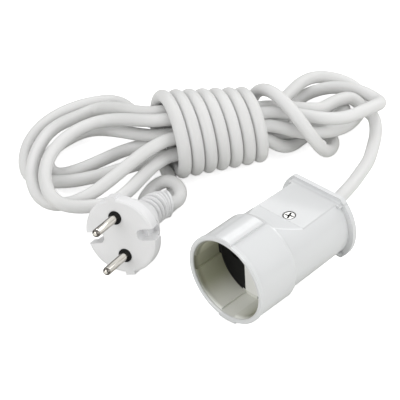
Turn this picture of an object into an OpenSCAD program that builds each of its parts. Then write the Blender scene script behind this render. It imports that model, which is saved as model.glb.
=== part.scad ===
// Two-pole extension cord: a round flush-type coupler socket, about 2.8 m of
// round white cord laid as a hank under a seven-turn winding, and a moulded
// round plug with two 4 mm pins.  Millimetres, Z up, floor at z = 0.
// The socket's axis lies along Y, its mouth faces -Y and its rear cap +Y.

/* [Socket cup] */
// Radius of the cup, outside
cup_r = 22; // [21.4:0.1:23]
// Radius of the lip round the mouth
lip_r = 22.4; // [22.2:0.1:23]
// Length of the lip
lip_len = 2.2; // [1.4:0.1:3]
// Length of the cup with its rounded shoulder
cup_len = 25; // [24:0.5:27]
// Rounding of the cup's shoulder
shoulder_r = 2; // [1:0.1:3]
// Radius of the mouth, inside
mouth_r = 20.1; // [19.8:0.1:20.4]
// Radius inside the four guide pads
pad_r = 19; // [18.6:0.1:19.4]
// Distance from the lip to the guide pads
pad_start = 1.2; // [1:0.1:4]
// Width of the four guide channels
channel_w = 8; // [6:0.5:9]
// Depth of the recess
recess_depth = 17.5; // [15:0.5:19]
// Height of the two outer grip ribs, measured from the axis
rib_r = 23.3; // [22.8:0.1:24]
// Width of an outer grip rib
rib_w = 9.8; // [8:0.2:11]

/* [Socket barrel] */
// Overall length of the socket
socket_len = 65.2; // [62:0.2:70]
// Radius of the barrel next to the cup
barrel_r0 = 20.3; // [20:0.1:20.9]
// Radius of the barrel at its rear
barrel_r1 = 19.5; // [19:0.1:20]
// Distance from the axis to each flat
flat_h = 14.5; // [14:0.1:15.5]
// Length of the two flats, with the end cap
flat_len = 27.7; // [24:0.1:31]
// Height of the ramps where they leave the cup, from the axis
ramp_h = 19.7; // [18.6:0.1:20]
// Wall of the socket
wall = 2; // [1.6:0.1:2.2]
// Roll of the socket about its axis, degrees
roll = 4; // [0:0.5:8]

/* [End cap] */
// Thickness of the end cap
cap_t = 2.8; // [2:0.1:4]
// Half width of the end cap
cap_r = 22.2; // [21.6:0.1:22.8]
// Half height of the end cap
cap_h = 17; // [16.4:0.1:18]
// Rounding of the end cap's corners
cap_corner = 3; // [1:0.5:5]
// Length of the concave flare in front of the end cap
flare = 2.2; // [1:0.1:2.4]
// Depth of the spigot that plugs into the barrel
spigot = 5; // [3:0.5:6]

/* [Contact carrier] */
// Distance between the two pins
pin_pitch = 19; // [18.6:0.1:19.4]
// Radius of a pin hole in the carrier
hole_r = 2.6; // [2.4:0.05:2.9]
// Depth of a pin hole, in front of the contact
hole_len = 2.5; // [2:0.1:3]
// Thickness of the carrier's round face
face_t = 5.5; // [4.5:0.5:6]
// Room behind the carrier, for the clamp and the wires
wire_room = 19.7; // [19:0.1:21]
// Width of the white bar across the carrier
bar_w = 8.6; // [7:0.2:9.4]
// Depth of the white bar
bar_t = 2.4; // [1.8:0.2:3]
// Outer radius of a contact sleeve
sleeve_r = 3; // [2.8:0.05:3.2]
// Bore radius of a contact sleeve
sleeve_bore = 2.1; // [2.05:0.05:2.3]
// Width of the slit along a contact sleeve
slit_w = 0.8; // [0.5:0.1:1.2]
// Side of the square terminal block behind a sleeve
term_side = 7; // [6.4:0.1:7.4]
// Length of a terminal block
term_len = 8; // [7:0.5:9]
// How far a terminal block stays inside the carrier's rear
term_gap = 0.5; // [0.3:0.1:1]

/* [Small fasteners] */
// Radius of the body screw's head
body_head_r = 3; // [2.7:0.1:3.3]
// Where the body screw sits, from the rear
screw_back = 24.3; // [22:0.1:26]
// Where the body screw sits, sideways from the axis
body_screw_side = 2.5; // [0:0.1:3]
// Radius of the terminal and clamp screws
small_screw_r = 1.25; // [1:0.05:1.5]
// Half width between the clamp screws
clamp_pitch = 7; // [6.4:0.1:7.6]
// Length of the cord clamp along the cord
clamp_len = 6; // [5:0.5:7]
// From the clamp's front to the rear of the socket
clamp_back = 13.5; // [13:0.1:14]
// Width of a clamp leg outside its screw's axis
clamp_leg = 3; // [2.4:0.1:3.4]
// Thickness of the clamp over the cord
clamp_bar = 1.6; // [1.2:0.1:2]
// Thickness of a clamp screw's head
clamp_head_t = 1.6; // [1.2:0.1:2]
// How far a terminal screw stays inside the flat's wall
screw_sink = 4; // [3:0.1:5]
// Width of a screwdriver slot
driver_w = 0.6; // [0.5:0.05:0.8]
// Depth of a screwdriver slot
driver_deep = 0.8; // [0.5:0.05:1]

/* [Plug] */
// Radius of the plug's face
disc_r = 18.5; // [18:0.1:19]
// Thickness of the plug's disc
disc_t = 5.5; // [5:0.1:6.5]
// Rounding of the disc's edge
disc_edge = 1.2; // [0.6:0.1:1.6]
// How far a guide lug stands out from the disc
lug_out = 1; // [0.6:0.1:2]
// Width of a guide lug
lug_w = 4.8; // [4:0.1:5.6]
// Width of an earth-clip slot
slot_w = 5.6; // [5:0.1:6.4]
// Distance from the centre to the end of an earth-clip slot
slot_in = 9; // [8.5:0.1:11]
// Radius of the body behind the disc
waist_r = 16.4; // [15.5:0.1:17]
// Distance from the face to the strain relief
body_len = 24; // [22:0.5:27]
// Radius of a pin
pin_r = 2; // [1.9:0.05:2.05]
// Radius of a pin's foot, inside the bridge
foot_r = 1.6; // [1.4:0.05:1.7]
// Free length of a pin
pin_len = 19; // [18:0.5:20]
// Radius of the black collar round a pin
collar_r = 3.3; // [3:0.05:3.6]
// How far a collar stands out from the face
collar_out = 0.5; // [0.3:0.1:1]

/* [Strain relief] */
// Core radius of the strain relief
relief_r = 5.6; // [5.2:0.1:6]
// Rib radius of the first rib
rib0_r = 7.6; // [7:0.1:8]
// Rib radius of the last rib
rib1_r = 6.6; // [6.2:0.1:7]
// Number of ribs round the bend
ribs = 4; // [3:1:5]
// Length of a rib
rib_len = 1.7; // [1.2:0.1:2]
// Straight length of the strain relief
relief_straight = 8; // [6:0.5:10]
// Radius of the bend in the strain relief
relief_bend = 14; // [12:0.5:18]
// Angle of the bend in the strain relief, degrees
relief_turn = 40; // [30:1:50]

/* [Cord] */
// Diameter of the cord's round jacket
cord_d = 6.2; // [5.6:0.1:6.2]
// Number of turns wound round the hank
turns = 7; // [5:1:7]
// Distance from one wound turn to the next
turn_pitch = 6.72; // [6.7:0.01:6.75]
// Inner pass radius of the winding at its right end
wind_r0 = 15.6; // [15.4:0.1:16]
// Winding radius at its left end
wind_r1 = 19; // [18.8:0.05:19.05]
// Distance between neighbouring strands in the waist
strand_pitch = 6.75; // [6.7:0.05:6.8]
// Diameter of an insulated wire inside
wire_d = 2.4; // [2:0.1:2.6]

/* [Hidden] */
$fn = 72;
fit = 0.05;            // gap left between seated pieces
cord_r = cord_d / 2;

// ---- placing --------------------------------------------------------------
axis_z = rib_r * cos(roll) + rib_w / 2 * sin(roll);
half_len = socket_len / 2;

// socket frame: x across, y up, z from the rear face towards the mouth
module in_socket() {
  translate([0, half_len, axis_z]) rotate([0, -roll, 0]) rotate([90, 0, 0])
    children();
}

// a prism from s0 to s1, both measured from the mouth
module run(s0, s1) {
  translate([0, 0, socket_len - s1]) linear_extrude(s1 - s0) children();
}

// a revolved solid from [radius, distance from the mouth] points
module spun(p) {
  translate([0, 0, socket_len])
    rotate_extrude() polygon([for (v = p) [v[0], -v[1]]]);
}

// plug frame: x towards the upper pin, y across, z the way the pins point
plug_yaw = 287;
plug_pitch = 12.2;
plug_roll = -21.7;
pp = [cos(plug_pitch) * cos(plug_yaw), cos(plug_pitch) * sin(plug_yaw), sin(plug_pitch)];
ph = [-sin(plug_yaw), cos(plug_yaw), 0];
pq = cos(plug_roll) * cross(pp, ph) + sin(plug_roll) * ph;
pw = cross(pp, pq);
lug_r = disc_r + lug_out;
plug_z = lug_r * pq[2] + lug_w / 2 * abs(pw[2]) + disc_t * pp[2];
plug_at = [-58.8, -40.6, plug_z];

module in_plug() {
  multmatrix([[pq[0], pw[0], pp[0], plug_at[0]], [pq[1], pw[1], pp[1], plug_at[1]],
              [pq[2], pw[2], pp[2], plug_at[2]], [0, 0, 0, 1]])
    children();
}

// ---- tubes ----------------------------------------------------------------
function unit(v) = v / norm(v);
function step3(x) = x * x * (3 - 2 * x);
function clip(x, a, b) = min(b, max(a, x));
function cr(a, b, c, d, t) =
  0.5 * (2 * b + (c - a) * t + (2 * a - 5 * b + 4 * c - d) * t * t
  + (3 * b - a - 3 * c + d) * t * t * t);
// a smooth line through points p, with n steps between two of them
function smooth(p, n) = let (m = len(p) - 1) concat(
  [for (i = [0 : m - 1]) for (k = [0 : n - 1])
    cr(i == 0 ? 2 * p[0] - p[1] : p[i - 1], p[i], p[i + 1],
       i + 2 > m ? 2 * p[m] - p[m - 1] : p[i + 2], k / n)], [p[m]]);
function tangents(p) = let (m = len(p) - 1)
  [for (i = [0 : m]) unit((i < m ? unit(p[i + 1] - p[i]) : [0, 0, 0])
                        + (i > 0 ? unit(p[i] - p[i - 1]) : [0, 0, 0]))];
function across(t) = unit(cross(t, abs(t[2]) < 0.9 ? [0, 0, 1] : [1, 0, 0]));

// one unbroken tube along the points p
module tube(p, r, n) {
  m = len(p);
  t = tangents(p);
  v = [for (i = 0, a = across(t[0]); i < m;
            i = i + 1, a = i < m ? unit(a - (a * t[i]) * t[i]) : a) a];
  ring = [for (i = [0 : m - 1]) for (k = [0 : n - 1])
    p[i] + r * (cos(360 * k / n) * v[i] + sin(360 * k / n) * cross(t[i], v[i]))];
  side = [for (i = [0 : m - 2]) for (k = [0 : n - 1]) for (h = [0, 1])
    let (a = i * n + k, b = i * n + (k + 1) % n)
      h == 0 ? [a, a + n, b] : [b, a + n, b + n]];
  caps = [for (k = [1 : n - 2]) for (e = [0, 1])
    e == 0 ? [0, k, k + 1] : let (z = (m - 1) * n) [z, z + k + 1, z + k]];
  polyhedron(ring, concat(side, caps), convexity = 12);
}

// ---- the hank's route -----------------------------------------------------
// u runs along the hank to the right, n across it to the back, z is height
hank_x = -73;
hank_y = 66.7;
hank_turn = 60.3;
hank_z = 18.9;
hank_fall = 0.07;
waist_right = 2;
waist_left = -44;
join_u = -5;
spread = 0.5;

function zc(u) = hank_z - hank_fall * clip(u, -50, 4);
function world(p) = [hank_x + p[0] * cos(hank_turn) - p[1] * sin(hank_turn),
                     hank_y + p[0] * sin(hank_turn) + p[1] * cos(hank_turn), p[2]];
// eight strands: seven round one, numbered from the top back; -1 is the middle one
ring_r = strand_pitch / (2 * sin(180 / 7));
function cell(k) = k < 0 ? [0, 0]
  : let (a = 50.6 + k * 360 / 7) [ring_r * cos(a), ring_r * sin(a)];
function in_waist(k, u) = let (f = 1 + spread * clip(-u / 46, 0, 1), c = cell(k) * f)
  [u, c[0], zc(u) + c[1]];

function herm(a, ta, b, tb, s) = a * (2 * s * s * s - 3 * s * s + 1)
  + ta * (s * s * s - 2 * s * s + s) + b * (3 * s * s - 2 * s * s * s)
  + tb * (s * s * s - s * s);
// an oval of half length o[2], half widths o[3] (far) and o[4] (near), turned by o[5];
// a half that is narrower than the oval is long has a round end of its own half width
function turned(x, y, a) = [x * cos(a) - y * sin(a), x * sin(a) + y * cos(a)];
function half(o, t) = t > 0 ? o[3] : o[4];
function oval(o, side, t) = let (c = min(o[2], half(o, t)))
  [o[0], o[1]] + turned(side * ((o[2] - c) * (1 - pow(1 - cos(t), 2)) + c * cos(t)),
                        half(o, t) * sin(t), o[5]);
function oval_way(o, side, t) = let (c = min(o[2], half(o, t)))
  unit(turned(side * (2 * (o[2] - c) * (1 - cos(t)) + c) * sin(t), -half(o, t) * cos(t), o[5]));
lead_n = 5;
arc_n = 7;
// a loop from strand ka to strand kb round an oval, side -1 left and 1 right
function bight(side, ka, kb, o, h) =
  let (ue = side < 0 ? waist_left : waist_right, a = in_waist(ka, ue), b = in_waist(kb, ue),
       p0 = [a[0], a[1]], p3 = [b[0], b[1]], p1 = oval(o, side, o[6]), p2 = oval(o, side, -o[7]),
       l1 = norm(p1 - p0), l2 = norm(p3 - p2))
  concat(
    [for (i = [0 : lead_n - 1]) let (s = i / lead_n,
      q = herm(p0, [side * l1, 0], p1, oval_way(o, side, o[6]) * l1, s))
      [q[0], q[1], a[2] + (h[0] - a[2]) * step3(s)]],
    [for (i = [0 : arc_n - 1]) let (s = i / arc_n, q = oval(o, side, o[6] * (1 - s)))
      [q[0], q[1], h[0] + (h[1] - h[0]) * step3(s)]],
    [for (i = [0 : arc_n - 1]) let (s = i / arc_n, q = oval(o, side, -o[7] * s))
      [q[0], q[1], h[1] + (h[2] - h[1]) * step3(s)]],
    [for (i = [0 : lead_n]) let (s = i / lead_n,
      q = herm(p2, oval_way(o, side, -o[7]) * l2, p3, [-side * l2, 0], s))
      [q[0], q[1], h[2] + (b[2] - h[2]) * step3(s)]]);
function back(p) = [for (i = [len(p) - 1 : -1 : 0]) p[i]];

// centre u, centre n, half length, far and near half width, turn, far and near join
bights = [
  bight(-1, 0, 2, [-85.5, 13, 20.5, 44.5, 40, -37, 51, 102], [7, 13.5, 8]),
  back(bight(1, 6, 2, [50.5, 29, 17.5, 10.5, 48, -33.5, 99, 79], [9.5, 3.2, 16.5])),
  bight(-1, 6, 4, [-68.5, 10, 46, 48, 14.5, -4.5, 91, 42], [5.5, 5.5, 5]),
  back(bight(1, 5, 4, [27, 5.5, 28, 8, 9, 26.5, 101, 62], [3.2, 5.5, 10.5])),
  back(bight(-1, -1, 5, [-74, 21, 29.5, 16, 11, 20, 85, 92], [5, 3.2, 7])),
  bight(1, -1, 1, [48.5, 1, 20, 35, 11, 22.5, 106, 100], [3.2, 15, 22.5]),
  bight(-1, 1, 3, [-67.5, -17.5, 42.5, 43, 13, 3.5, 80, 72], [18, 16.5, 11.5])];
hank_line = [for (p = concat([in_waist(0, join_u)], [for (b = bights) each b],
                             [in_waist(3, join_u)])) world(p)];

// ---- the winding's route --------------------------------------------------
wind_side = 1.08;      // how much wider than high the winding is
loose_more = 0.32;     // the first turn stands out further to the side
loose_run = 38;        // and leans to the right
loose_to = -0.84;
turn_n = 24;
function wound(t) = let (a = 360 * t, r = wind_r0 + (wind_r1 - wind_r0) * max(t, 0) / turns,
  u = -turn_pitch * t + (t < 0 ? loose_run * pow(-t, 2.2) : 0),
  k = wind_side + (t < 0 ? loose_more * -t : 0))
  [u, -k * r * sin(a), hank_z - hank_fall * u - r * cos(a)];
under = [[2, -7.1, 15.4], [5, -7.7, 13.5], [8, -8.3, 11], [11.5, -8, 8.6], [15.5, -6.3, 6.3],
  [20, -3, 4.4], [25, 1, 3.5], [30, 4.4, 3.2], [35, 5, 3.2], [38.8, 2, 3.2], [40.4, -3, 3.2],
  [39, -8, 3.3], [36, -12.6, 4.6]];
wind_end = wound(turns);
wind_line = [for (p = concat([in_waist(3, join_u), in_waist(3, -1)], under,
  [for (i = [0 : 18]) wound(loose_to * (1 - i / 18))],
  [for (i = [1 : turns * turn_n]) wound(i / turn_n)],
  [wind_end + [0, -cord_d, 0]])) world(p)];

// ---- the two tails, points chosen by eye ----------------------------------
socket_route = concat(
  [[0, half_len - 12, axis_z], [0, half_len - 4, axis_z], [0, half_len + 6, axis_z]],
  [[-3.8, 58, 23], [-9.5, 72.3, 19.5], [-17, 88, 14.5], [-26, 102.5, 10], [-34, 114.5, 8],
   [-41.5, 122, 9.5], [-47.5, 123, 10.5], [-54, 122.8, 13], [-56.5, 119, 16],
   [-57.5, 109, 18.5], [-57, 101, 19.7], [-57, 93, 22.5]],
  [for (u = [8, 2, -1, join_u]) world(in_waist(0, u))]);
// the bend in the strain relief, in the plug's own frame
bend_way = unit([-0.37, -0.93, 0]);
relief_z = -body_len - relief_straight;
function in_bend(a, o) = [0, 0, relief_z]
  + (relief_bend * (1 - cos(a)) + o * cos(a)) * bend_way
  - (relief_bend - o) * sin(a) * [0, 0, 1];
function from_plug(p) = plug_at + p[0] * pq + p[1] * pw + p[2] * pp;
relief_end = from_plug(in_bend(relief_turn, 0));
relief_out = sin(relief_turn) * (bend_way[0] * pq + bend_way[1] * pw) - cos(relief_turn) * pp;
plug_route = concat([world(wind_end + [0, -cord_d, 0])],
  [[-86.5, 20.5, 3.2], [-82, 17, 3.2], [-77, 13.5, 3.2], [-73, 9, 3.2], [-71.5, 3.5, 3.2],
   [-73.5, -1.5, 3.2], [-78.5, -3.5, 3.2], [-83.5, -1.5, 3.2], [-85.5, 3, 3.6],
   [-86, 8.5, 5.6], [-82.5, 12.5, 8.8], [-77, 13.2, 10.4], [-71, 11, 11], [-66.5, 7, 11.4]],
  [relief_end + 5 * relief_out, relief_end],
  [for (a = [0.75, 0.5, 0.25, 0]) from_plug(in_bend(a * relief_turn, 0))],
  [from_plug([0, 0, relief_z + 5])]);

// ---- least gaps, measured on points along the routes ----------------------
function halves(p) = [for (i = [0 : len(p) - 2]) each [p[i], (p[i] + p[i + 1]) / 2]];
function along(p, i = 0, s = 0, o = []) = i == len(p) ? o
  : along(p, i + 1, s + (i < len(p) - 1 ? norm(p[i + 1] - p[i]) : 0), concat(o, [s]));
function self_gap(p) = let (q = halves(p), s = along(q))
  min([for (i = [0 : len(q) - 1]) min(concat([99], [for (j = [i + 1 : 1 : len(q) - 1])
    if (s[j] - s[i] > 22) norm(q[j] - q[i])]))]) - cord_d;
function gap(p, q) = min([for (a = halves(p)) min([for (b = halves(q)) norm(a - b)])]) - cord_d;
module report_gaps() {
  a = smooth(socket_route, 2);
  b = smooth(plug_route, 2);
  echo(hank_self = self_gap(hank_line), winding_self = self_gap(wind_line));
  echo(tail_self = self_gap(a), plug_tail_self = self_gap(b));
  n = len(hank_line);
  m = len(wind_line);
  echo(hank_to_winding = gap([for (i = [4 : n - 5]) hank_line[i]],
                             [for (i = [4 : m - 1]) wind_line[i]]));
  echo(socket_tail_to_hank = gap([for (i = [0 : len(a) - 10]) a[i]],
                                 [for (i = [4 : n - 1]) hank_line[i]]));
  echo(socket_tail_to_winding = gap(a, wind_line));
  echo(plug_tail_to_hank = gap(b, hank_line));
  echo(plug_tail_to_winding = gap([for (i = [2 : len(b) - 1]) b[i]],
                                  [for (i = [0 : m - 6]) wind_line[i]]));
  s = along(hank_line);
  w = along(wind_line);
  at = along(a);
  bt = along(b);
  echo(lengths = [at[len(at) - 1], s[n - 1], w[m - 1], bt[len(bt) - 1]],
       lowest = min([for (p = concat(hank_line, wind_line, a, b)) p[2]]));
}

module cord_socket_tail() {
  color([0.86, 0.86, 0.84]) tube(smooth(socket_route, 2), cord_r, 10);
}

module cord_hank() {
  color([0.86, 0.86, 0.84]) tube(hank_line, cord_r, 6);
}

module cord_winding() {
  color([0.88, 0.88, 0.86]) tube(wind_line, cord_r, 6);
}

module cord_plug_tail() {
  color([0.86, 0.86, 0.84]) tube(smooth(plug_route, 2), cord_r, 10);
}

// ---- socket ---------------------------------------------------------------
cup_in = cup_r - wall - 1.4;              // cavity behind the recess floor
barrel_in = barrel_r1 - wall;
flat_in = flat_h - wall;
cap_front = socket_len - cap_t;
carrier_r = cup_in - fit;
ramp_start = cup_len - shoulder_r;
ramp_end = socket_len - flat_len;
body_screw_at = socket_len - screw_back;
carrier_len = socket_len - recess_depth - wire_room;

module barrel_sides() {
  // the two flats and the ramps that lead to them, seen from the side
  rotate([0, 90, 0]) linear_extrude(2 * cap_r, center = true)
    polygon([for (k = [1, -1]) each [for (v = k > 0
      ? [[0, cup_r + 2], [ramp_start, cup_r + 2], [ramp_start, ramp_h], [ramp_end, flat_h],
         [socket_len, flat_h]]
      : [[socket_len, flat_h], [ramp_end, flat_h], [ramp_start, ramp_h],
         [ramp_start, cup_r + 2], [0, cup_r + 2]])
      [v[0] - socket_len, k * v[1]]]]);
}

module flare_strip() {
  // concave flare from the flat up to the end cap
  for (k = [1, -1]) intersection() {
    run(cap_front - flare, cap_front) circle(cap_r - 1.2);
    translate([0, k * flat_h, socket_len - cap_front]) rotate([0, 90, 0])
      linear_extrude(2 * cap_r, center = true) difference() {
        translate([-flare, k > 0 ? -1 : 1 - flare - 1]) square([flare, flare + 1]);
        translate([-flare, k * flare]) circle(flare);
      }
  }
}

module socket_shell() {
  color([0.93, 0.94, 0.95]) in_socket() difference() {
    union() {
      spun([[0, 0], [lip_r - 0.6, 0], [lip_r, 0.6], [lip_r, lip_len], [cup_r, lip_len + 0.4],
            [cup_r, cup_len - shoulder_r], [cup_r - 0.6, cup_len - 0.6],
            [cup_r - shoulder_r, cup_len], [0, cup_len]]);
      for (k = [1, -1]) intersection() {
        run(0, cup_len - shoulder_r) translate([0, k * rib_r / 2])
          square([rib_w, rib_r], center = true);
        spun([[0, 0], [rib_r - 0.5, 0], [rib_r, 0.5], [rib_r, cup_len - shoulder_r - 1.6],
              [cup_r, cup_len - shoulder_r], [0, cup_len - shoulder_r]]);
      }
      intersection() {
        spun([[0, cup_len - 4], [barrel_r0, cup_len - 4], [barrel_r1, cap_front],
              [0, cap_front]]);
        barrel_sides();
      }
      flare_strip();
    }
    // recess with its four guide pads
    spun([[0, -1], [mouth_r + 0.5, -1], [mouth_r + 0.5, 0], [mouth_r, 0.5],
          [mouth_r, pad_start], [pad_r + 0.3, pad_start + 0.3], [pad_r, pad_start + 1],
          [pad_r, recess_depth], [0, recess_depth]]);
    intersection() {
      run(1, recess_depth) circle(mouth_r);
      run(1, recess_depth) for (a = [0, 90]) rotate(a) square([channel_w, 60], center = true);
    }
    // space for the carrier, either side of the white bar
    difference() {
      run(recess_depth - 0.5, recess_depth + face_t) circle(cup_in);
      run(recess_depth - 1, recess_depth + bar_t) square([bar_w, 60], center = true);
    }
    run(recess_depth + face_t - 0.5, recess_depth + carrier_len) intersection() {
      circle(barrel_in);
      square([60, 2 * flat_in], center = true);
    }
    // cord chamber, open to the rear
    run(recess_depth + carrier_len - 0.5, socket_len) intersection() {
      circle(barrel_in);
      square([60, 2 * flat_in], center = true);
    }
    // counterbored hole for the body screw
    translate([body_screw_side, flat_in - 1, socket_len - body_screw_at])
      rotate([-90, 0, 0]) cylinder(r = small_screw_r + 0.3, h = 10);
    translate([body_screw_side, flat_h - wall / 2, socket_len - body_screw_at])
      rotate([-90, 0, 0]) cylinder(r = body_head_r + 0.2, h = 10);
  }
}

module cap_outline(r, h, c) {
  intersection() {
    circle(r);
    square([2 * r, 2 * h], center = true);
    rotate(45) square([2 * (r + h - c) / sqrt(2), 2 * (r + h - c) / sqrt(2)], center = true);
  }
}

module socket_end_cap() {
  color([0.9, 0.91, 0.92]) in_socket() difference() {
    union() {
      run(cap_front, socket_len - 0.6) cap_outline(cap_r, cap_h, cap_corner);
      run(socket_len - 0.6, socket_len) cap_outline(cap_r - 0.5, cap_h - 0.5, cap_corner);
      run(cap_front - spigot, cap_front) difference() {
        intersection() {
          circle(barrel_in - fit);
          square([60, 2 * (flat_in - fit)], center = true);
        }
        intersection() {
          circle(barrel_in - 1.6);
          square([60, 2 * (flat_in - 1.6)], center = true);
        }
      }
    }
    run(cap_front - 1, socket_len + 1) circle(cord_r + 0.3);
  }
}

// ---- socket, inside -------------------------------------------------------
term_end = recess_depth + carrier_len - term_gap;
term_at = term_end - term_len;

module contact_carrier() {
  color([0.1, 0.1, 0.1]) in_socket() difference() {
    union() {
      difference() {
        run(recess_depth, recess_depth + face_t - fit) circle(carrier_r);
        run(recess_depth - 1, recess_depth + bar_t + fit)
          square([bar_w + 2 * fit, 60], center = true);
      }
      run(recess_depth + face_t - 1, recess_depth + carrier_len - fit) intersection() {
        circle(barrel_in - fit);
        square([60, 2 * (flat_in - fit)], center = true);
      }
    }
    for (k = [1, -1]) {
      // hole, sleeve chamber and terminal pocket of one pole
      run(recess_depth - 1, recess_depth + hole_len + 1) translate([k * pin_pitch / 2, 0])
        circle(hole_r);
      run(recess_depth + hole_len, term_at + 1) translate([k * pin_pitch / 2, 0])
        circle(sleeve_r + 2 * fit);
      run(term_at - fit, recess_depth + carrier_len + 1) translate([k * pin_pitch / 2, 0])
        square(term_side + 2 * fit, center = true);
      // way in for the terminal screw, from the flat side
      translate([k * pin_pitch / 2, 0, socket_len - term_at - term_len / 2])
        rotate([90, 0, 0]) cylinder(r = 2 * small_screw_r, h = 30);
    }
    // nut pocket and shaft of the body screw
    translate([body_screw_side, -6, socket_len - body_screw_at]) rotate([-90, 0, 0])
      cylinder(r = small_screw_r + 0.3, h = 40);
    run(body_screw_at - nut_side / 2 - fit, recess_depth + carrier_len + 1)
      translate([body_screw_side, nut_y])
      square([nut_side + 2 * fit, nut_t + 2 * fit], center = true);
  }
}
nut_side = 5;
nut_t = 2.2;
nut_y = 2;

module contact(k) {
  color([0.82, 0.66, 0.3]) in_socket() difference() {
    union() {
      run(recess_depth + hole_len, term_at) translate([k * pin_pitch / 2, 0])
        circle(sleeve_r);
      run(term_at, term_end) translate([k * pin_pitch / 2, 0]) square(term_side, center = true);
    }
    // bore for the pin and slit that lets it spring
    run(recess_depth + hole_len - 1, term_at - 1) translate([k * pin_pitch / 2, 0])
      circle(sleeve_bore);
    run(recess_depth + hole_len - 1, term_at - 2)
      translate([k * (pin_pitch / 2 + sleeve_r), 0]) square([2 * sleeve_r, slit_w], center = true);
    // hole for the wire, crossed by the screw
    run(term_at + 1, term_end + 1) translate([k * pin_pitch / 2, 0]) circle(wire_d / 2 + fit);
    translate([k * pin_pitch / 2, 0, socket_len - term_at - term_len / 2])
      rotate([90, 0, 0]) cylinder(r = small_screw_r + fit, h = 30);
  }
}
module contact_left() { contact(-1); }
module contact_right() { contact(1); }

module terminal_screw(k) {
  color([0.75, 0.75, 0.72]) in_socket()
    translate([k * pin_pitch / 2, 0, socket_len - term_at - term_len / 2])
    rotate([90, 0, 0]) translate([0, 0, wire_d / 2 + fit]) difference() {
      cylinder(r = small_screw_r, h = flat_in - wire_d / 2 - screw_sink);
      translate([-small_screw_r - 1, -driver_w / 2, flat_in - wire_d / 2 - screw_sink - driver_deep])
        cube([2 * small_screw_r + 2, driver_w, driver_deep + 1]);
    }
}
module terminal_screw_left() { terminal_screw(-1); }
module terminal_screw_right() { terminal_screw(1); }

// cord clamp: a two-legged bar that sits over the cord and rests on the wall
clamp_s = socket_len - clamp_back;
clamp_top = cord_r + clamp_bar;
clamp_h = flat_in + clamp_top;
module cord_clamp() {
  color([0.85, 0.86, 0.87]) in_socket() difference() {
    run(clamp_s, clamp_s + clamp_len) translate([0, clamp_top - clamp_h / 2])
      square([2 * (clamp_pitch + clamp_leg), clamp_h - 2 * fit], center = true);
    run(clamp_s - 1, clamp_s + clamp_len + 1) circle(cord_r + 0.2);
    for (k = [1, -1]) translate([k * clamp_pitch, -barrel_r0, socket_len - clamp_s - clamp_len / 2])
      rotate([-90, 0, 0]) cylinder(r = small_screw_r + fit, h = 2 * barrel_r0);
  }
}
module clamp_screw(k) {
  color([0.75, 0.75, 0.72]) in_socket()
    translate([k * clamp_pitch, 0, socket_len - clamp_s - clamp_len / 2])
    rotate([-90, 0, 0]) difference() {
      union() {
        translate([0, 0, -flat_in / 2]) cylinder(r = small_screw_r, h = flat_in / 2 + clamp_top);
        translate([0, 0, clamp_top]) cylinder(r = 2 * small_screw_r, h = clamp_head_t);
      }
      translate([-2 * small_screw_r - 1, -driver_w / 2, clamp_top + clamp_head_t - driver_deep])
        cube([4 * small_screw_r + 2, driver_w, driver_deep + 1]);
    }
}
module clamp_screw_left() { clamp_screw(-1); }
module clamp_screw_right() { clamp_screw(1); }

module body_screw() {
  color([0.2, 0.2, 0.2]) in_socket()
    translate([body_screw_side, 0, socket_len - body_screw_at]) rotate([-90, 0, 0])
    difference() {
      union() {
        translate([0, 0, nut_y - nut_t / 2 - 2])
          cylinder(r = small_screw_r, h = flat_h - wall / 2 - nut_y + nut_t / 2 + 2);
        translate([0, 0, flat_h - wall / 2]) cylinder(r = body_head_r, h = wall / 2 - 0.2);
      }
      for (a = [20, 110]) rotate(a) translate([-body_head_r * 0.7, -0.35, flat_h - 0.7])
        cube([body_head_r * 1.4, 0.7, 2]);
    }
}

module body_nut() {
  color([0.7, 0.7, 0.68]) in_socket()
    translate([body_screw_side, nut_y - nut_t / 2, socket_len - body_screw_at])
    rotate([-90, 0, 0]) difference() {
      translate([-nut_side / 2, -nut_side / 2, 0]) cube([nut_side, nut_side, nut_t]);
      translate([0, 0, -1]) cylinder(r = small_screw_r + fit, h = 5);
    }
}

// ---- insulated wires ------------------------------------------------------
function from_socket(p) = [p[0] * cos(roll) - p[1] * sin(roll), p[2] - half_len,
                           axis_z + p[0] * sin(roll) + p[1] * cos(roll)];
sheath_s = socket_len - clamp_back + 1.5;
module wire_in_socket(k) {
  w = wire_d / 2;
  tube([for (p = smooth([[k * (w + 0.1), 0, sheath_s], [k * (w + 0.1), 0, sheath_s - 1.5],
      [k * (w + 2.4), 0, sheath_s - 3.5], [k * pin_pitch / 2, 0, term_end + 0.8],
      [k * pin_pitch / 2, 0, term_at + 3.5]], 3)) from_socket(p)], w - 0.1, 8);
}
module wire_brown_socket() { color([0.45, 0.25, 0.12]) wire_in_socket(1); }
module wire_blue_socket() { color([0.15, 0.3, 0.65]) wire_in_socket(-1); }

// ---- plug -----------------------------------------------------------------
bridge_l = pin_pitch + 6;
bridge_w = 8;
bridge_z0 = -10;
bridge_z1 = -3;
crimp_r = 1.5;
crimp_z = -14;         // end of the crimps, from the face
wire_in = 1.4;          // where the wires enter the cord's jacket, off the axis
jacket_z = relief_z + 5;

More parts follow.
